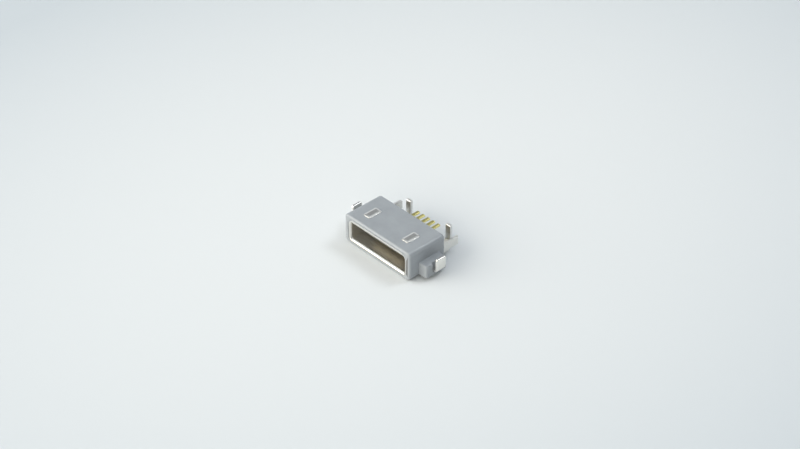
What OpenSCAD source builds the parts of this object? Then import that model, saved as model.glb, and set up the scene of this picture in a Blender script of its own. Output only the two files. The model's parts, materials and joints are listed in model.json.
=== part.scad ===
// Board-mounted socket for a small five-way plug: metal sleeve in a moulded housing.
// The origin is the centre of the plug mouth, in the plane of its rim.
// X runs across the mouth, Y into the socket and Z up, towards the board that it is soldered to.

/* [Mouth] */
// Clear width of the mouth
mouth_width = 6.9; // [6.5:0.05:7.3]
// Clear height of the mouth
mouth_height = 1.85; // [1.6:0.05:2.1]
// Corner radius on the narrow side, at the top
mouth_top_radius = 0.45; // [0.2:0.05:0.8]
// Corner radius on the wide side, at the bottom
mouth_low_radius = 0.12; // [0.05:0.01:0.3]

/* [Board] */
// Height of the board's near face above the middle of the mouth
board_height = 0.08; // [0:0.01:0.3]

/* [Shell] */
// Sheet thickness of the sleeve and its legs
sheet = 0.28; // [0.2:0.01:0.35]
// Depth of the flare that leads the plug in at the rim
lead_in = 0.3; // [0.1:0.01:0.5]
// How far the flare opens out at the rim, below and at the sides
flare = 0.13; // [0.04:0.01:0.15]
// Radius on the outside of the rim
rim_radius = 0.04; // [0.02:0.01:0.12]
// Distance from the rim to where the floor and side walls end behind the housing
channel_end = 5.2; // [4.8:0.05:5.8]
// Distance from the rim to the ends of the side plates
plate_end = 6.3; // [5.5:0.05:7]
// Height of a side plate below the board
plate_height = 0.85; // [0.4:0.05:1]
// Radius of the rolled side of the sheet's sheared ends
roll_radius = 0.12; // [0.04:0.01:0.18]

/* [Latch bumps] */
// Distance between the middles of the two bumps that hold the plug's latches
bump_span = 4.9; // [4:0.05:5.4]
// Distance from the rim to the middles of the bumps
bump_middle = 1.76; // [1.5:0.01:2.5]
// Length of a bump along the socket
bump_length = 1.55; // [1:0.05:2]
// Width of a bump
bump_width = 0.84; // [0.5:0.02:0.9]
// How far a bump is pressed out of the sleeve
bump_rise = 0.39; // [0.2:0.01:0.45]
// Corner radius of a bump seen from above
bump_corner = 0.2; // [0.05:0.01:0.25]
// Width of the sloping border round a bump's flat top
border_width = 0.2; // [0.1:0.01:0.24]
// How far the border slopes down
border_drop = 0.045; // [0.03:0.005:0.15]
// Wall of the pocket inside a bump
bump_wall = 0.14; // [0.1:0.01:0.2]

/* [Rear legs] */
// Distance between the middles of the two rear legs
leg_span = 5.1; // [4:0.01:6]
// Width of a rear leg
leg_width = 0.58; // [0.4:0.01:0.8]
// Distance from the rim to the front faces of the rear legs
leg_front = 6.15; // [5.9:0.01:7]
// Height of a rear leg above the board's near face
leg_rise = 0.6; // [0.3:0.01:1]
// Inside radius of the sheet's bends
bend_radius = 0.12; // [0.05:0.01:0.3]

/* [Housing] */
// Width without the wings
housing_width = 8.35; // [7.8:0.05:8.8]
// Height of the housing
housing_height = 3; // [2.7:0.02:3.3]
// Distance from the rim to the back of the housing
housing_depth = 4.25; // [3.8:0.05:4.8]
// How far the rim lies behind the housing's front
rim_setback = 0.03; // [0:0.01:0.1]
// Radius of the two long edges at the top
long_edge_radius = 0.35; // [0.3:0.05:0.7]
// Radius of the two long edges at the bottom
low_edge_radius = 0.5; // [0.3:0.05:0.6]
// Radius of the edge round the front
front_edge_radius = 0.2; // [0.1:0.01:0.28]
// Radius of the edge round the back
back_edge_radius = 0.27; // [0.1:0.01:0.28]

/* [Wings] */
// Distance across both wings
wing_span = 10.2; // [9.4:0.1:11]
// Distance from the rim to the fronts of the wings
wing_front = 1.1; // [0.6:0.05:1.8]
// Length of a wing along the socket
wing_length = 2.4; // [1.6:0.05:3]
// Height of a wing's underside above the housing's
wing_lift = 0.34; // [0:0.01:0.5]
// Radius of a wing's upright outer edges
wing_radius = 0.24; // [0.2:0.02:0.6]
// Radius of the edge round a wing's top
wing_edge_radius = 0.14; // [0.05:0.01:0.2]
// Depth of the notch in a wing's side that a nail stands in
notch_depth = 0.2; // [0.1:0.05:0.3]
// Space between a nail and each side of its notch
notch_gap = 0.1; // [0.05:0.01:0.2]

/* [Nails] */
// Distance across the outsides of the two nails
nail_span = 11.06; // [10.4:0.02:12]
// Sheet thickness of a nail
nail_sheet = 0.25; // [0.15:0.01:0.3]
// Width of a nail's leg
nail_width = 1.08; // [0.6:0.02:1.2]
// Distance from the rim to a nail's front edge
nail_front = 1.97; // [1.6:0.05:2.6]
// Height of a nail's leg above the board's near face
nail_rise = 0.53; // [0.3:0.01:1]
// Distance of a nail's underside below the board's near face
nail_drop = 0.9; // [0.5:0.01:1]
// Length of the wider anchor inside the wing, along the socket
anchor_length = 1.5; // [1.3:0.05:2.2]
// Width of the anchor across the wing
anchor_width = 0.3; // [0.2:0.05:0.5]
// Corner cut at a nail's tip
tip_cut = 0.1; // [0:0.01:0.3]

/* [Insulator] */
// Distance from the rim to the tip of the tongue
tongue_tip = 1.25; // [0.8:0.05:2]
// Width of the tongue
tongue_width = 3.7; // [3:0.05:4]
// Thickness of the tongue
tongue_thickness = 0.6; // [0.4:0.02:0.8]
// Edge radius at the tongue's tip
tongue_radius = 0.15; // [0.05:0.01:0.25]
// Thickness of the wall at the bottom of the mouth, inside the housing
back_thickness = 0.35; // [0.2:0.05:0.8]
// Width of the ledge behind the housing that carries the tails
ledge_width = 4.2; // [3.4:0.1:4.5]

/* [Contacts] */
// Distance from one contact to the next
contact_spacing = 0.65; // [0.5:0.01:0.8]
// Thickness of a contact
contact_thickness = 0.2; // [0.1:0.01:0.3]
// Width of a contact on the tongue
contact_width = 0.4; // [0.2:0.01:0.45]
// Width of a contact's tail
tail_width = 0.3; // [0.2:0.01:0.4]
// Distance from the rim to the tail ends
tail_end = 6.32; // [5.8:0.01:7]
// Distance from the tongue's tip to the outer two contacts
outer_setback = 0.2; // [0.1:0.05:0.5]
// Distance from the tongue's tip to the inner three contacts
inner_setback = 0.45; // [0.2:0.05:0.8]
// End radius on top of a tail
tail_radius = 0.08; // [0.02:0.01:0.1]

/* [Hidden] */
$fn = 48;
// Overlap that lets a cut pass cleanly through a face
past = 0.1;
half_mouth = mouth_width / 2;
mouth_top = mouth_height / 2;
half_housing = housing_width / 2;
housing_top = housing_height / 2;
sleeve_half = half_mouth + sheet;
sleeve_top = mouth_top + sheet;
// Radius of the arc that starts flush in the sleeve and opens out by the flare at the rim
flare_radius = (pow(lead_in, 2) + pow(flare, 2)) / (2 * flare);
back_wall = housing_depth - back_thickness;
bump_top = sleeve_top + bump_rise;
contact_count = 5;
contact_middle = (contact_count + 1) / 2;
grey = [0.62, 0.65, 0.68];
bright = [0.84, 0.84, 0.83];
tan = [0.56, 0.52, 0.42];
gold = [0.83, 0.7, 0.36];

// Draws a flat shape across the mouth, X by Z, and runs it along Y
module along_y(from, to) {
    translate([0, to, 0]) rotate([90, 0, 0]) linear_extrude(height = to - from) children();
}

// Draws a flat shape seen from the side, Y by Z, and runs it along X
module along_x(from, to) {
    translate([from, 0, 0]) rotate([90, 0, 90]) linear_extrude(height = to - from) children();
}

// Draws a flat shape seen from above, X by Y, and runs it along Z
module along_z(from, to) {
    translate([0, 0, from]) linear_extrude(height = to - from) children();
}

// Repeats the children on the other side of the mouth
module both_sides() {
    children();
    mirror([1, 0, 0]) children();
}

// What a rounded corner leaves off, with the corner at the origin and the shape in the first quadrant
module corner_waste(radius) {
    difference() {
        translate([-past, -past]) square(radius + past);
        translate([radius, radius]) circle(radius);
    }
}

// Rectangle from one point to another, with the radius of each corner in order round it
module rounded(low, high, radii) {
    difference() {
        translate(low) square(high - low);
        if (radii[0] > 0) translate(low) corner_waste(radii[0]);
        if (radii[1] > 0) translate([high[0], low[1]]) mirror([1, 0]) corner_waste(radii[1]);
        if (radii[2] > 0) translate(high) rotate(180) corner_waste(radii[2]);
        if (radii[3] > 0) translate([low[0], high[1]]) mirror([0, 1]) corner_waste(radii[3]);
    }
}

// Outline of the mouth, grown by a wall
module mouth_shape(wall) {
    low = mouth_low_radius + wall;
    top = mouth_top_radius + wall;
    rounded([-half_mouth - wall, -mouth_top - wall], [half_mouth + wall, mouth_top + wall], [low, low, top, top]);
}

module sleeve_ring() {
    difference() {
        mouth_shape(sheet);
        mouth_shape(0);
    }
}

// Section of the rim: depth by distance out of the mouth
module rim_section() {
    difference() {
        rounded([0, 0], [lead_in, sheet], [0, 0, 0, rim_radius]);
        difference() {
            translate([-past, -past]) square([lead_in + past, flare + past]);
            translate([lead_in, flare_radius]) circle(flare_radius);
        }
    }
}

// A corner of the rim, turned about a middle line along Y
module rim_corner(radius) {
    rotate([-90, 0, 0]) rotate_extrude(angle = 90) translate([radius, 0]) mirror([1, -1]) rim_section();
}

module rim() {
    straight_low = half_mouth - mouth_low_radius;
    straight_top = half_mouth - mouth_top_radius;
    along_x(-straight_low, straight_low) translate([0, -mouth_top]) mirror([0, 1]) rim_section();
    along_x(-straight_top, straight_top) translate([0, mouth_top]) rim_section();
    both_sides() {
        along_z(mouth_low_radius - mouth_top, mouth_top - mouth_top_radius)
            translate([half_mouth, 0]) mirror([1, -1]) rim_section();
        translate([straight_low, 0, mouth_low_radius - mouth_top]) rim_corner(mouth_low_radius);
        translate([straight_top, 0, mouth_top - mouth_top_radius]) mirror([0, 0, 1]) rim_corner(mouth_top_radius);
    }
    flat_lip();
}

// The upper lip, which fills the flare above the mouth's top and leaves it to run out at the corners
module flat_lip() {
    wall = sheet - rim_radius;
    along_y(0, lead_in) intersection() {
        mouth_shape(wall);
        translate([-half_mouth - wall, mouth_top]) square([2 * (half_mouth + wall), wall]);
    }
}

// A rear leg seen from the side: the floor runs back and bends up
module leg_section() {
    leg_back = leg_front + sheet;
    leg_top = board_height + leg_rise;
    difference() {
        rounded([channel_end - past, -sleeve_top], [leg_back, leg_top], [0, bend_radius + sheet, 0, 0]);
        rounded([channel_end - 2 * past, -mouth_top], [leg_front, leg_top + past], [0, bend_radius, 0, 0]);
        translate([leg_front, leg_top]) mirror([0, 1]) corner_waste(roll_radius);
    }
}

// Outline of a latch bump seen from above, drawn in by a wall
module bump_shape(wall) {
    half = [bump_width / 2 - wall, bump_length / 2 - wall];
    corner = max(bump_corner - wall, 0);
    translate([bump_span / 2, bump_middle]) rounded(-half, half, [corner, corner, corner, corner]);
}

// Section of a latch bump, which stands on the middle of the sheet and slopes down to both sides
module bump_section(middle, width) {
    low = mouth_top + sheet / 2;
    half = width / 2;
    translate([middle, 0])
        polygon([[-half, low], [half, low], [half, bump_top - border_drop], [half - border_width, bump_top],
                 [border_width - half, bump_top], [-half, bump_top - border_drop]]);
}

// A latch bump: a flat top with a sloping border all round
module bump() {
    across = bump_span / 2;
    intersection() {
        along_z(mouth_top, bump_top + past) bump_shape(0);
        along_y(0, housing_depth) bump_section(across, bump_width);
        along_x(0, 2 * across) bump_section(bump_middle, bump_length);
    }
}

module shell() {
    color(bright) {
        difference() {
            union() {
                along_y(lead_in, housing_depth) sleeve_ring();
                both_sides() bump();
            }
            both_sides() along_z(mouth_top - past, bump_top - bump_wall) bump_shape(bump_wall);
        }
        rim();
        along_y(housing_depth, channel_end) intersection() {
            sleeve_ring();
            translate([-sleeve_half, -sleeve_top]) square([2 * sleeve_half, sleeve_top + board_height]);
        }
        both_sides() {
            along_y(channel_end, plate_end)
                rounded([half_mouth, board_height - plate_height], [sleeve_half, board_height],
                        [0, 0, 0, roll_radius]);
            along_x(leg_span / 2 - leg_width / 2, leg_span / 2 + leg_width / 2) leg_section();
        }
    }
}

// A corner of what rounding an end leaves off, turned about a middle line along Y
module end_corner(corner, radius) {
    rotate([-90, 0, 0]) rotate_extrude(angle = 90) translate([corner, 0]) mirror([1, 0]) corner_waste(radius);
}

// What rounding the edge round an end of the housing leaves off, with the end's face at Y = 0
module end_waste(radius) {
    straight_low = half_housing - low_edge_radius;
    straight_top = half_housing - long_edge_radius;
    side_low = low_edge_radius - housing_top;
    side_top = housing_top - long_edge_radius;
    along_x(-straight_low, straight_low) translate([0, -housing_top]) corner_waste(radius);
    along_x(-straight_top, straight_top) translate([0, housing_top]) mirror([0, 1]) corner_waste(radius);
    both_sides() {
        along_z(side_low, side_top) translate([half_housing, 0]) mirror([1, 0]) corner_waste(radius);
        translate([straight_low, 0, side_low]) end_corner(low_edge_radius, radius);
        translate([straight_top, 0, side_top]) mirror([0, 0, 1]) end_corner(long_edge_radius, radius);
    }
}

module housing_body() {
    difference() {
        along_y(-rim_setback, housing_depth)
            rounded([-half_housing, -housing_top], [half_housing, housing_top],
                    [low_edge_radius, low_edge_radius, long_edge_radius, long_edge_radius]);
        translate([0, -rim_setback, 0]) end_waste(front_edge_radius);
        translate([0, housing_depth, 0]) mirror([0, 1, 0]) end_waste(back_edge_radius);
    }
}

// A corner of what rounding a wing's top leaves off, turned about an upright middle line
module wing_corner_waste() {
    rotate_extrude(angle = 90) translate([wing_radius, 0]) rotate(180) corner_waste(wing_edge_radius);
}

// What rounding the edge round a wing's top leaves off, with the top at Z = 0
module wing_waste() {
    outside = wing_span / 2;
    turn = outside - wing_radius;
    back = wing_front + wing_length;
    along_x(half_mouth, turn) {
        translate([wing_front, 0]) mirror([0, 1]) corner_waste(wing_edge_radius);
        translate([back, 0]) rotate(180) corner_waste(wing_edge_radius);
    }
    along_y(wing_front + wing_radius, back - wing_radius)
        translate([outside, 0]) rotate(180) corner_waste(wing_edge_radius);
    translate([turn, back - wing_radius, 0]) wing_corner_waste();
    translate([turn, wing_front + wing_radius, 0]) rotate(-90) wing_corner_waste();
}

module wing() {
    difference() {
        along_z(wing_lift - housing_top, board_height)
            rounded([half_mouth, wing_front], [wing_span / 2, wing_front + wing_length],
                    [0, wing_radius, wing_radius, 0]);
        translate([0, 0, board_height]) wing_waste();
        notch_shape();
    }
}

// The notch that a nail stands in, open at the wing's side and top
module notch_shape() {
    translate([wing_span / 2 - notch_depth, nail_front - notch_gap, board_height - nail_drop])
        cube([notch_depth + past, nail_width + 2 * notch_gap, nail_drop + past]);
}

module housing() {
    color(grey) difference() {
        union() {
            housing_body();
            both_sides() wing();
        }
        along_y(-rim_setback - past, housing_depth + past) mouth_shape(sheet);
        both_sides() {
            along_z(mouth_top, housing_top + past) bump_shape(0);
            nail_shape();
        }
    }
}

module nail_shape() {
    outside = nail_span / 2;
    inside = half_housing + anchor_width / 2;
    middle = nail_front + nail_width / 2;
    low = board_height - nail_drop;
    top = board_height + nail_rise;
    intersection() {
        along_y(nail_front, nail_front + nail_width) difference() {
            rounded([inside, low], [outside, top], [0, bend_radius + nail_sheet, 0, 0]);
            rounded([inside - past, low + nail_sheet], [outside - nail_sheet, top + past], [0, bend_radius, 0, 0]);
        }
        along_x(inside, outside) difference() {
            translate([nail_front, low]) square([nail_width, top - low]);
            translate([nail_front, top]) rotate(45) square(tip_cut * sqrt(2), center = true);
            translate([nail_front + nail_width, top]) rotate(45) square(tip_cut * sqrt(2), center = true);
        }
    }
    translate([inside, middle - anchor_length / 2, low]) cube([anchor_width, anchor_length, nail_sheet]);
}

module nail_right() {
    color(bright) nail_shape();
}

module nail_left() {
    color(bright) mirror([1, 0, 0]) nail_shape();
}

module contact_shape(number) {
    outer = number == 1 || number == contact_count;
    front = tongue_tip + (outer ? outer_setback : inner_setback);
    translate([(number - contact_middle) * contact_spacing, 0, board_height]) {
        translate([-contact_width / 2, front, -contact_thickness])
            cube([contact_width, back_wall - front, contact_thickness]);
        along_x(-tail_width / 2, tail_width / 2)
            rounded([front, -contact_thickness], [tail_end, 0], [0, 0, tail_radius, 0]);
    }
}

module contact(number) {
    color(gold) contact_shape(number);
}

module contact_1() contact(1);
module contact_2() contact(2);
module contact_3() contact(3);
module contact_4() contact(4);
module contact_5() contact(5);

module insulator() {
    color(tan) difference() {
        union() {
            along_x(-tongue_width / 2, tongue_width / 2)
                rounded([tongue_tip, board_height - tongue_thickness], [back_wall + past, board_height],
                        [tongue_radius, 0, 0, tongue_radius]);
            along_y(back_wall, housing_depth) mouth_shape(0);
            translate([-ledge_width / 2, back_wall, -mouth_top])
                cube([ledge_width, channel_end - back_wall, mouth_top + board_height - contact_thickness]);
        }
        for (number = [1:contact_count]) contact_shape(number);
    }
}

housing();
shell();
insulator();
contact_1();
contact_2();
contact_3();
contact_4();
contact_5();
nail_left();
nail_right();
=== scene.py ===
import json
import math

import bmesh
import bpy
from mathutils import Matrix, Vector

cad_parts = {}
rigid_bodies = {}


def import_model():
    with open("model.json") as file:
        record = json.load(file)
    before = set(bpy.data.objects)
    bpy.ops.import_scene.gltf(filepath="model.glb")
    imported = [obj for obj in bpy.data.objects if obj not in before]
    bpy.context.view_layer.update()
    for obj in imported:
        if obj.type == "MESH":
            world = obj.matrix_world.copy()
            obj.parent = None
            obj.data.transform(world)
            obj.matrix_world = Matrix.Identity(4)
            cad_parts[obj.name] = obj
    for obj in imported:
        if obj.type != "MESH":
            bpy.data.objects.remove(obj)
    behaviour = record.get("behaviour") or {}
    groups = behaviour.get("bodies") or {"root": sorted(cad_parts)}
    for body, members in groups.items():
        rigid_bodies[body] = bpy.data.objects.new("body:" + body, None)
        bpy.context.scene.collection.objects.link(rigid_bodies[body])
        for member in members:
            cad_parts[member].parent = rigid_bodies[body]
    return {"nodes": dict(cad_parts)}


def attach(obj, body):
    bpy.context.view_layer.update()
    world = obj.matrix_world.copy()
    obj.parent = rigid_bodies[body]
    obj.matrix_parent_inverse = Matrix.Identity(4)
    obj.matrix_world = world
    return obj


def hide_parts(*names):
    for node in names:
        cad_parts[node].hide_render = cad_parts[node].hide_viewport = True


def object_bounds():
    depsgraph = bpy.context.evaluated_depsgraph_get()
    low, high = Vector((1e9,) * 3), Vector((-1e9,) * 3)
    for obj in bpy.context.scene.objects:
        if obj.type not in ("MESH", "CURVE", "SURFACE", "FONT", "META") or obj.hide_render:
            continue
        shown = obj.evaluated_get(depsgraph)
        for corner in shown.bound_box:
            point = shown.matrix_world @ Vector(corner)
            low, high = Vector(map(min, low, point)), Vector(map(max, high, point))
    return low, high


MM = 0.001

# Camera, as fitted to the photograph
CAMERA_TARGET = (-1.067 * MM, 3.756 * MM, 0.0)
CAMERA_AZIMUTH = 46.91
CAMERA_ELEVATION = 36.735
CAMERA_DISTANCE = 171.1 * MM
CAMERA_LENS = 86.67
CAMERA_SENSOR = 36.0
CAMERA_CLIP = (1 * MM, 10.0)

# Widths of the small edge roundings, and of the strip of painted shade along the seam where the housing
# meets the sleeve
PLASTIC_EDGE = 0.02 * MM
METAL_EDGE = 0.02 * MM
NAIL_EDGE = 0.06 * MM
CONTACT_EDGE = 0.04 * MM
SEAM_WIDTH = 0.045 * MM

# Sections of a rounding and of the seam: steps across, and a profile of 0.5 for round or 1.0 for square
EDGE_SEGMENTS = 3
EDGE_PROFILE = 0.5
SEAM_SEGMENTS = 2
SEAM_PROFILE = 1.0

# Edges that are rounded: the least turn between their faces, and the height above which bumps need less
SHARP_EDGE_DEG = 25.0
SHALLOW_EDGE_DEG = 8.0
BUMP_LOW = 1.52 * MM

# Edges that stay sharp: those beside a face narrower than some widths, or beside a small thin-tipped one
ROOM_IN_WIDTHS = 2.0
THIN_TIP_DEG = 5.0
THIN_TIP_AREA = 0.005 * MM * MM
FEW_CORNERS = 4

# Care of the meshes
MERGE_DISTANCE = 1e-5 * MM
FLAT_EDGE_DEG = 0.5
NORMAL_WEIGHT = 100
SECOND_MATERIAL = 1

# Sheared faces: how squarely they face an axis, where the legs begin and how far out they stand
FACING = 0.95
LEG_START = 5.5 * MM
LEG_OUT = 3.2 * MM

# Where the sleeve's finish is dull, in millimetres: behind the rim, less on the legs, not on the bumps
DULL_FRONT = (0.1, 0.4)
DULL_BACK = (4.8, 5.4)
DULL_TOP = (1.0, 1.15)
DULL_ROUGHNESS = 0.22
LEG_SHARE = 0.8

# Colours, linear
WHITE = (1.0, 1.0, 1.0)
HOUSING_GREY = (0.345, 0.370, 0.393)
PLATE_BRIGHT = (0.84, 0.83, 0.79)
CUT_GREY = (0.86, 0.86, 0.85)
CONTACT_GOLD = (0.90, 0.80, 0.33)
INSULATOR_TAN = (0.22, 0.18, 0.105)
# Painted shade of the gap along the seam, on the housing's flush strip next to the sleeve
SEAM_PAINTED_SHADE = (0.15, 0.155, 0.16)
FLOOR_PALE = (0.77, 0.795, 0.80)
# Far colour of the floor: painted shade, darker and bluer than its lit middle
FLOOR_PAINTED_DIM = (0.59, 0.635, 0.665)

# Finishes: the usual range of a noise, and the most roughness of a satin one, past which specks show
NOISE_RANGE = (0.3, 0.7)
SATIN_LIMIT = 0.265
PLASTIC_IOR = 1.5
SEAM_ROUGHNESS = 0.7

# Places of the colour sockets in a mixing node
COLOUR_A = 6
COLOUR_B = 7
COLOUR_RESULT = 2

# Floor, in metres, and in millimetres where the middle of its painted pool of light is and how far the
# pool reaches each way
FLOOR_SIZE = 1.2
FLOOR_LIGHT_POOL_MIDDLE = (-6.0, 8.0, 0.0)
FLOOR_LIGHT_POOL_REACH = (50.0, 63.0)
FLOOR_ROUGHNESS = 0.7
FLOOR_SPECULAR = 0.15

# Lamps
LAMP_DISTANCE = 0.6
LAMP_WARM = (1.0, 0.94, 0.82)
KEY_AZIMUTH = -28.0
KEY_ELEVATION = 16.0
KEY_SIZE = 0.8
KEY_LEVEL = 1.36
FILL_AZIMUTH = 24.0
FILL_ELEVATION = 18.0
FILL_SIZE = 0.35
FILL_LEVEL = 0.26

# Studio round the table: levels, and edges as heights or as cosines of the angle from a light's middle
STUDIO_COOL = (0.95, 1.0, 1.05)
STUDIO_ACROSS = (-1.0, 1.0)
HORIZON_LEVELS = (0.85, 0.15)
HORIZON_EDGE = (0.38, 0.50)
BAND_LEVEL = 0.32
CEILING_LEVEL = 0.74
CEILING_EDGE = (0.66, 0.88)
BOX_AZIMUTH = -58.0
BOX_ELEVATION = 36.0
BOX_LEVEL = 1.3
BOX_EDGE = (0.90, 0.96)
BACK_AZIMUTH = 156.0
BACK_ELEVATION = 53.0
BACK_LEVEL = 6.0
BACK_EDGE = (0.97, 0.99)

CONTACTS = ("contact_1", "contact_2", "contact_3", "contact_4", "contact_5")
NAILS = ("nail_left", "nail_right")


def direction(azimuth, elevation):
    """Unit vector from the object towards a place round it: azimuth 0 is the front, 90 the right."""
    a = math.radians(azimuth)
    e = math.radians(elevation)
    return Vector((math.sin(a) * math.cos(e), -math.cos(a) * math.cos(e), math.sin(e)))


def place_looking(thing, position, target):
    """Puts a camera or lamp at a position and turns it to a target."""
    thing.location = position
    thing.rotation_mode = "QUATERNION"
    thing.rotation_quaternion = (Vector(target) - Vector(position)).to_track_quat("-Z", "Y")


def add_object(name, data):
    """A new object in the scene."""
    thing = bpy.data.objects.new(name, data)
    bpy.context.scene.collection.objects.link(thing)
    return thing


def shade(colour, factor):
    """The colour times a factor."""
    return tuple(channel * factor for channel in colour)


def run_between(tree, value, source, target=(0.0, 1.0), form="LINEAR"):
    """Value that runs over the target's two ends as the given one runs over the source's."""
    node = tree.nodes.new("ShaderNodeMapRange")
    node.interpolation_type = form
    node.inputs["From Min"].default_value = source[0]
    node.inputs["From Max"].default_value = source[1]
    node.inputs["To Min"].default_value = target[0]
    node.inputs["To Max"].default_value = target[1]
    tree.links.new(value, node.inputs["Value"])
    return node.outputs["Result"]


def step_between(tree, value, edge):
    """Soft step of a value over an edge's two ends."""
    return run_between(tree, value, edge, form="SMOOTHSTEP")


class Finish:
    """A node material with helpers that keep each recipe short."""

    def __init__(self, name):
        self.material = bpy.data.materials.new(name)
        self.material.use_nodes = True
        self.tree = self.material.node_tree
        self.nodes = self.tree.nodes
        self.links = self.tree.links
        self.shader = self.nodes["Principled BSDF"]
        place = self.nodes.new("ShaderNodeTexCoord")
        scale = self.nodes.new("ShaderNodeMapping")
        scale.inputs["Scale"].default_value = (1 / MM, 1 / MM, 1 / MM)
        self.links.new(place.outputs["Object"], scale.inputs["Vector"])
        self.millimetres = scale.outputs["Vector"]

    def set(self, **values):
        """Sets constant inputs of the shader, with _ for a space in a name."""
        for name, value in values.items():
            self.shader.inputs[name.replace("_", " ")].default_value = value

    def drive(self, name, socket):
        """Feeds an input of the shader."""
        self.links.new(socket, self.shader.inputs[name])

    def noise(self, per_mm, detail, stretch=None):
        """Noise of a scale per millimetre, drawn out along an axis by stretch."""
        node = self.nodes.new("ShaderNodeTexNoise")
        node.inputs["Scale"].default_value = per_mm
        node.inputs["Detail"].default_value = detail
        source = self.millimetres
        if stretch is not None:
            squeeze = self.nodes.new("ShaderNodeMapping")
            squeeze.inputs["Scale"].default_value = stretch
            self.links.new(source, squeeze.inputs["Vector"])
            source = squeeze.outputs["Vector"]
        self.links.new(source, node.inputs["Vector"])
        return node.outputs["Fac"]

    def ramp(self, factor, edge, low, high):
        """Colour that runs from low to high as the factor runs over an edge's two ends."""
        node = self.nodes.new("ShaderNodeValToRGB")
        first, second = node.color_ramp.elements
        first.position = edge[0]
        first.color = (*low, 1.0)
        second.position = edge[1]
        second.color = (*high, 1.0)
        self.links.new(factor, node.inputs["Fac"])
        return node.outputs["Color"]

    def mottle(self, colour, shades, per_mm, detail):
        """The colour between two shades of it, in the patches of a noise."""
        low = shade(colour, shades[0])
        high = shade(colour, shades[1])
        return self.ramp(self.noise(per_mm, detail), NOISE_RANGE, low, high)

    def multiply(self, first, second):
        """Product of two colours."""
        node = self.nodes.new("ShaderNodeMix")
        node.data_type = "RGBA"
        node.blend_type = "MULTIPLY"
        node.inputs["Factor"].default_value = 1.0
        self.links.new(first, node.inputs[COLOUR_A])
        self.links.new(second, node.inputs[COLOUR_B])
        return node.outputs[COLOUR_RESULT]

    def uneven(self, levels, per_mm, detail, stretch=None):
        """Value between two levels, in the patches of a noise."""
        return run_between(self.tree, self.noise(per_mm, detail, stretch), NOISE_RANGE, levels)

    def grain(self, depth, per_mm, detail, stretch=None):
        """Bump of a depth in metres over a noise, stacked on any bump made before."""
        node = self.nodes.new("ShaderNodeBump")
        node.inputs["Strength"].default_value = 1.0
        node.inputs["Distance"].default_value = depth
        self.links.new(self.noise(per_mm, detail, stretch), node.inputs["Height"])
        normal = self.shader.inputs["Normal"]
        if normal.is_linked:
            self.links.new(normal.links[0].from_socket, node.inputs["Normal"])
        self.links.new(node.outputs["Normal"], normal)

    def plus(self, value, mask, amount, clamp=False):
        """The value plus an amount where the mask is 1, kept from 0 to 1 if clamped."""
        node = self.nodes.new("ShaderNodeMath")
        node.operation = "MULTIPLY_ADD"
        node.use_clamp = clamp
        node.inputs[1].default_value = amount
        self.links.new(mask, node.inputs[0])
        self.links.new(value, node.inputs[2])
        return node.outputs["Value"]

    def inside(self):
        """Mask of the sleeve's inside: 1 there, a share on the legs, 0 at the rim and on the bumps."""
        split = self.nodes.new("ShaderNodeSeparateXYZ")
        self.links.new(self.millimetres, split.inputs["Vector"])
        deep = step_between(self.tree, split.outputs["Y"], DULL_FRONT)
        legs = step_between(self.tree, split.outputs["Y"], DULL_BACK)
        bumps = step_between(self.tree, split.outputs["Z"], DULL_TOP)
        sleeve = self.plus(deep, legs, LEG_SHARE - 1, clamp=True)
        return self.plus(sleeve, bumps, -1.0, clamp=True)

    def away(self, middle, reach):
        """Square of the distance from a middle on the floor, 1 at the reach along each axis."""
        offset = self.nodes.new("ShaderNodeVectorMath")
        offset.operation = "SUBTRACT"
        offset.inputs[1].default_value = middle
        self.links.new(self.millimetres, offset.inputs[0])
        scaled = self.nodes.new("ShaderNodeVectorMath")
        scaled.operation = "MULTIPLY"
        scaled.inputs[1].default_value = (1 / reach[0], 1 / reach[1], 0.0)
        self.links.new(offset.outputs["Vector"], scaled.inputs[0])
        square = self.nodes.new("ShaderNodeVectorMath")
        square.operation = "DOT_PRODUCT"
        self.links.new(scaled.outputs["Vector"], square.inputs[0])
        self.links.new(scaled.outputs["Vector"], square.inputs[1])
        return square.outputs["Value"]


def housing_plastic():
    """Satin moulded plastic: fine grain, faint flow clouds and speckle."""
    finish = Finish("housing_plastic")
    clouds = finish.mottle(HOUSING_GREY, shades=(0.95, 1.05), per_mm=0.7, detail=3.0)
    speckle = finish.mottle(WHITE, shades=(0.95, 1.0), per_mm=34.0, detail=2.0)
    finish.drive("Base Color", finish.multiply(clouds, speckle))
    finish.drive("Roughness", finish.uneven(levels=(0.20, SATIN_LIMIT), per_mm=5.0, detail=4.0))
    finish.grain(depth=0.0004 * MM, per_mm=26.0, detail=2.0)
    finish.grain(depth=0.0008 * MM, per_mm=2.2, detail=2.0)
    finish.set(IOR=PLASTIC_IOR)
    return finish.material


def seam_shadow():
    """Painted shade of the gap where the moulding meets the sleeve, darker in places."""
    finish = Finish("seam_shadow")
    finish.drive("Base Color", finish.mottle(SEAM_PAINTED_SHADE, shades=(0.8, 1.2), per_mm=3.0, detail=3.0))
    finish.set(Roughness=SEAM_ROUGHNESS)
    return finish.material


def bright_plate(name, dull_inside):
    """Bright tin plate on stamped sheet: drawing lines along the sleeve and faint dull patches."""
    finish = Finish(name)
    finish.drive("Base Color", finish.mottle(PLATE_BRIGHT, shades=(0.93, 1.0), per_mm=1.6, detail=4.0))
    roughness = finish.uneven(levels=(0.16, 0.26), per_mm=6.0, detail=3.0, stretch=(3.0, 0.5, 3.0))
    if dull_inside:
        roughness = finish.plus(roughness, finish.inside(), DULL_ROUGHNESS)
    finish.drive("Roughness", roughness)
    finish.grain(depth=0.0006 * MM, per_mm=24.0, detail=2.0, stretch=(2.0, 0.12, 2.0))
    finish.set(Metallic=1.0)
    return finish.material


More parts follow.
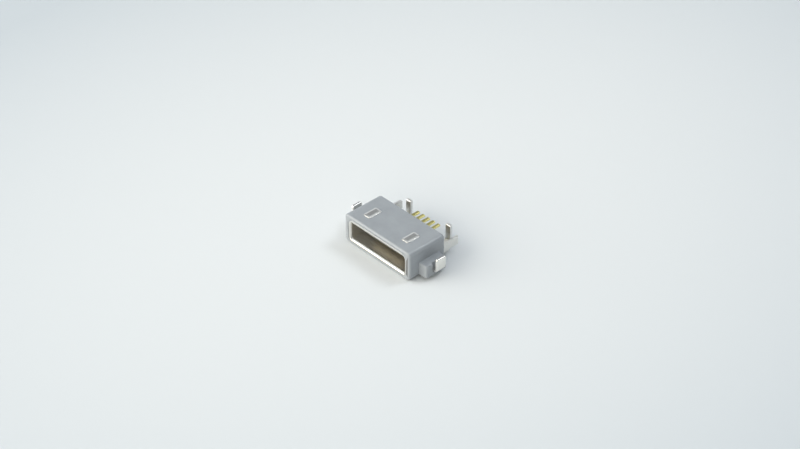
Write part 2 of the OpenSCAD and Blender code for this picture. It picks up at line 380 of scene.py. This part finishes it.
def cut_metal():
    """Sheared sheet: a matt grey face with the drag lines of the cut."""
    finish = Finish("cut_metal")
    finish.drive("Base Color", finish.mottle(CUT_GREY, shades=(0.88, 1.0), per_mm=8.0, detail=3.0))
    finish.drive("Roughness", finish.uneven(levels=(0.48, 0.62), per_mm=14.0, detail=2.0))
    finish.grain(depth=0.003 * MM, per_mm=30.0, detail=2.0, stretch=(1.0, 1.0, 0.15))
    finish.set(Metallic=1.0)
    return finish.material


def contact_gold():
    """Gold plate, a little duller in patches."""
    finish = Finish("contact_gold")
    finish.drive("Base Color", finish.mottle(CONTACT_GOLD, shades=(0.88, 1.0), per_mm=3.0, detail=3.0))
    finish.drive("Roughness", finish.uneven(levels=(0.16, SATIN_LIMIT), per_mm=9.0, detail=3.0))
    finish.grain(depth=0.0002 * MM, per_mm=30.0, detail=2.0, stretch=(2.0, 0.2, 2.0))
    finish.set(Metallic=1.0)
    return finish.material


def insulator_plastic():
    """Tan moulded plastic with a fine grain."""
    finish = Finish("insulator_plastic")
    finish.drive("Base Color", finish.mottle(INSULATOR_TAN, shades=(0.85, 1.0), per_mm=6.0, detail=3.0))
    finish.drive("Roughness", finish.uneven(levels=(0.42, 0.56), per_mm=12.0, detail=3.0))
    finish.grain(depth=0.0018 * MM, per_mm=36.0, detail=3.0)
    return finish.material


def floor_pale():
    """Pale matt table top with a painted pool of light: its colour turns darker away from its middle."""
    finish = Finish("floor_pale")
    away = finish.away(FLOOR_LIGHT_POOL_MIDDLE, FLOOR_LIGHT_POOL_REACH)
    finish.drive("Base Color", finish.ramp(away, (0.0, 1.0), FLOOR_PALE, FLOOR_PAINTED_DIM))
    finish.set(Roughness=FLOOR_ROUGHNESS, Specular_IOR_Level=FLOOR_SPECULAR)
    return finish.material


def leg_side(face):
    """Whether a face of the sleeve is sheared: a side of a leg or the end of a side plate."""
    middle = face.calc_center_median()
    beside = abs(face.normal.x) > FACING and abs(middle.x) < LEG_OUT
    return middle.y > LEG_START and (beside or face.normal.y > FACING)


def nail_edge(face):
    """Whether a face of a nail is sheared: one of its narrow sides."""
    return abs(face.normal.y) > FACING


def is_sharp(edge):
    """Whether an edge is sharp enough to be rounded; between the faces of a bump, less will do."""
    on_bump = min(corner.co.z for corner in edge.verts) > BUMP_LOW
    limit = SHALLOW_EDGE_DEG if on_bump else SHARP_EDGE_DEG
    return edge.calc_face_angle(0.0) > math.radians(limit)


def has_many_corners(face):
    """Whether a face has more corners than a triangle or a quadrangle."""
    return len(face.verts) > FEW_CORNERS


def has_thin_tip(face):
    """Whether a face is a small crescent with a thin tip, where a rounding would overshoot."""
    thin = min(corner.calc_angle() for corner in face.loops) < math.radians(THIN_TIP_DEG)
    return thin and has_many_corners(face) and face.calc_area() < THIN_TIP_AREA


def reach(face, edge):
    """How far a face reaches from one of its edges."""
    start = edge.verts[0].co
    way = (edge.verts[1].co - start).normalized()
    return max((corner.co - start).cross(way).length for corner in face.verts)


def has_room(edge, width):
    """Whether both faces at an edge have room for its rounding."""
    room = ROOM_IN_WIDTHS * width
    return all(reach(face, edge) > room and not has_thin_tip(face) for face in edge.link_faces)


def front_edges(edges):
    """The edges that lie in the plane of the foremost one."""
    front = min(corner.co.y for edge in edges for corner in edge.verts)
    limit = front + MERGE_DISTANCE
    return [edge for edge in edges if max(corner.co.y for corner in edge.verts) < limit]


def on_seam(edge):
    """Whether an edge belongs to the seam's strip."""
    return any(face.material_index == SECOND_MATERIAL for face in edge.link_faces)


def join_flat(work):
    """Joins the faces that lie in one plane."""
    bmesh.ops.dissolve_limit(
        work, angle_limit=math.radians(FLAT_EDGE_DEG), verts=work.verts, edges=work.edges
    )


def split_large(work):
    """Splits the faces of many corners, so that a rounding can't fold one that has a hole."""
    bmesh.ops.triangulate(work, faces=[face for face in work.faces if has_many_corners(face)])


def bevel(work, edges, width, segments, profile):
    """Replaces edges by strips that reach a width to each side, and returns the strips' faces."""
    result = bmesh.ops.bevel(
        work, geom=edges, offset=width, offset_type="OFFSET", segments=segments,
        profile=profile, affect="EDGES", clamp_overlap=False
    )
    return result["faces"]


def round_edges(work, width, has_seam):
    """Rounds the sharp edges of a mesh, and marks the strip of its front that borders on the sleeve for
    painted shade.
    """
    join_flat(work)
    sharp = [edge for edge in work.edges if is_sharp(edge)]
    rounded = [edge for edge in sharp if has_room(edge, width)]
    seam = front_edges(sharp) if has_seam else []
    split_large(work)
    if has_seam:
        # The seam's strip takes the second material: painted shade of the gap beside the sleeve.
        for face in bevel(work, seam, SEAM_WIDTH, SEAM_SEGMENTS, SEAM_PROFILE):
            face.material_index = SECOND_MATERIAL
    rounded = [edge for edge in rounded if edge.is_valid and not on_seam(edge)]
    bevel(work, rounded, width, EDGE_SEGMENTS, EDGE_PROFILE)
    join_flat(work)


def dress(node, width, materials, is_cut=None, has_seam=False):
    """Makes the piece that stands for a node: its solid with the sharp edges rounded a little."""
    work = bmesh.new()
    work.from_mesh(frame["nodes"][node].data)
    bmesh.ops.remove_doubles(work, verts=work.verts, dist=MERGE_DISTANCE)
    round_edges(work, width, has_seam)
    for face in work.faces:
        face.smooth = True
        if is_cut is not None and is_cut(face):
            face.material_index = SECOND_MATERIAL
    mesh = bpy.data.meshes.new(node + "_dressed")
    work.to_mesh(mesh)
    work.free()
    for material in materials:
        mesh.materials.append(material)
    piece = add_object(node + "_dressed", mesh)
    normals = piece.modifiers.new("even_shading", "WEIGHTED_NORMAL")
    normals.keep_sharp = False
    normals.weight = NORMAL_WEIGHT
    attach(piece, "root")
    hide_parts(node)


def make_floor(height):
    """Table top that the socket lies on."""
    half = FLOOR_SIZE / 2
    sides = ((-half, -half), (half, -half), (half, half), (-half, half))
    mesh = bpy.data.meshes.new("floor")
    mesh.from_pydata([(x, y, height) for x, y in sides], [], [(0, 1, 2, 3)])
    mesh.materials.append(floor_pale())
    floor = add_object("floor", mesh)


def make_lamp(name, centre, towards, size, level):
    """Round soft lamp that lights a white face turned to it to a level."""
    lamp = bpy.data.lights.new(name, "AREA")
    lamp.shape = "DISK"
    lamp.size = size
    lamp.color = LAMP_WARM
    lamp.energy = level * (math.pi * LAMP_DISTANCE) ** 2
    place_looking(add_object(name, lamp), centre + towards * LAMP_DISTANCE, centre)


def blend(tree, below, above, factor):
    """Level that turns from one to the other as the factor runs from 0 to 1."""
    node = tree.nodes.new("ShaderNodeMix")
    tree.links.new(below, node.inputs["A"])
    node.inputs["B"].default_value = above
    tree.links.new(factor, node.inputs["Factor"])
    return node.outputs["Result"]


def along(tree, place, axis):
    """How far a place in the world lies along an axis: the cosine of the angle between them."""
    node = tree.nodes.new("ShaderNodeVectorMath")
    node.operation = "DOT_PRODUCT"
    node.inputs[1].default_value = axis
    tree.links.new(place, node.inputs[0])
    return node.outputs["Value"]


def make_world():
    """Studio round the table: pale walls, a dim band, a ceiling light, a box and a back lamp."""
    world = bpy.data.worlds.new("studio")
    world.use_nodes = True
    tree = world.node_tree
    coordinates = tree.nodes.new("ShaderNodeTexCoord")
    place = coordinates.outputs["Generated"]
    split = tree.nodes.new("ShaderNodeSeparateXYZ")
    tree.links.new(place, split.inputs["Vector"])
    height = split.outputs["Z"]
    box = along(tree, place, direction(BOX_AZIMUTH, BOX_ELEVATION))
    back = along(tree, place, direction(BACK_AZIMUTH, BACK_ELEVATION))
    level = run_between(tree, split.outputs["X"], STUDIO_ACROSS, HORIZON_LEVELS)
    level = blend(tree, level, BAND_LEVEL, step_between(tree, height, HORIZON_EDGE))
    level = blend(tree, level, CEILING_LEVEL, step_between(tree, height, CEILING_EDGE))
    level = blend(tree, level, BOX_LEVEL, step_between(tree, box, BOX_EDGE))
    level = blend(tree, level, BACK_LEVEL, step_between(tree, back, BACK_EDGE))
    background = tree.nodes["Background"]
    background.inputs["Color"].default_value = (*STUDIO_COOL, 1.0)
    tree.links.new(level, background.inputs["Strength"])
    bpy.context.scene.world = world


def make_camera():
    """Camera at the photograph's place."""
    lens = bpy.data.cameras.new("camera")
    lens.lens = CAMERA_LENS
    lens.sensor_width = CAMERA_SENSOR
    lens.clip_start, lens.clip_end = CAMERA_CLIP
    camera = add_object("camera", lens)
    target = Vector(CAMERA_TARGET)
    towards = direction(CAMERA_AZIMUTH, CAMERA_ELEVATION)
    place_looking(camera, target + towards * CAMERA_DISTANCE, target)
    bpy.context.scene.camera = camera


for thing in list(bpy.data.objects):
    bpy.data.objects.remove(thing)
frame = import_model()
cad_low, cad_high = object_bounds()

sleeve_plate = bright_plate("sleeve_plate", dull_inside=True)
nail_plate = bright_plate("nail_plate", dull_inside=False)
cut = cut_metal()
gold = contact_gold()
dress("housing", PLASTIC_EDGE, [housing_plastic(), seam_shadow()], has_seam=True)
dress("shell", METAL_EDGE, [sleeve_plate, cut], leg_side)
dress("insulator", PLASTIC_EDGE, [insulator_plastic()])
for name in CONTACTS:
    dress(name, CONTACT_EDGE, [gold])
for name in NAILS:
    dress(name, NAIL_EDGE, [nail_plate, cut], nail_edge)

centre = (cad_low + cad_high) / 2
make_floor(cad_low.z)
make_lamp("key", centre, direction(KEY_AZIMUTH, KEY_ELEVATION), KEY_SIZE, KEY_LEVEL)
make_lamp("fill", centre, direction(FILL_AZIMUTH, FILL_ELEVATION), FILL_SIZE, FILL_LEVEL)
make_world()
make_camera()
bpy.context.scene.view_settings.view_transform = "Standard"
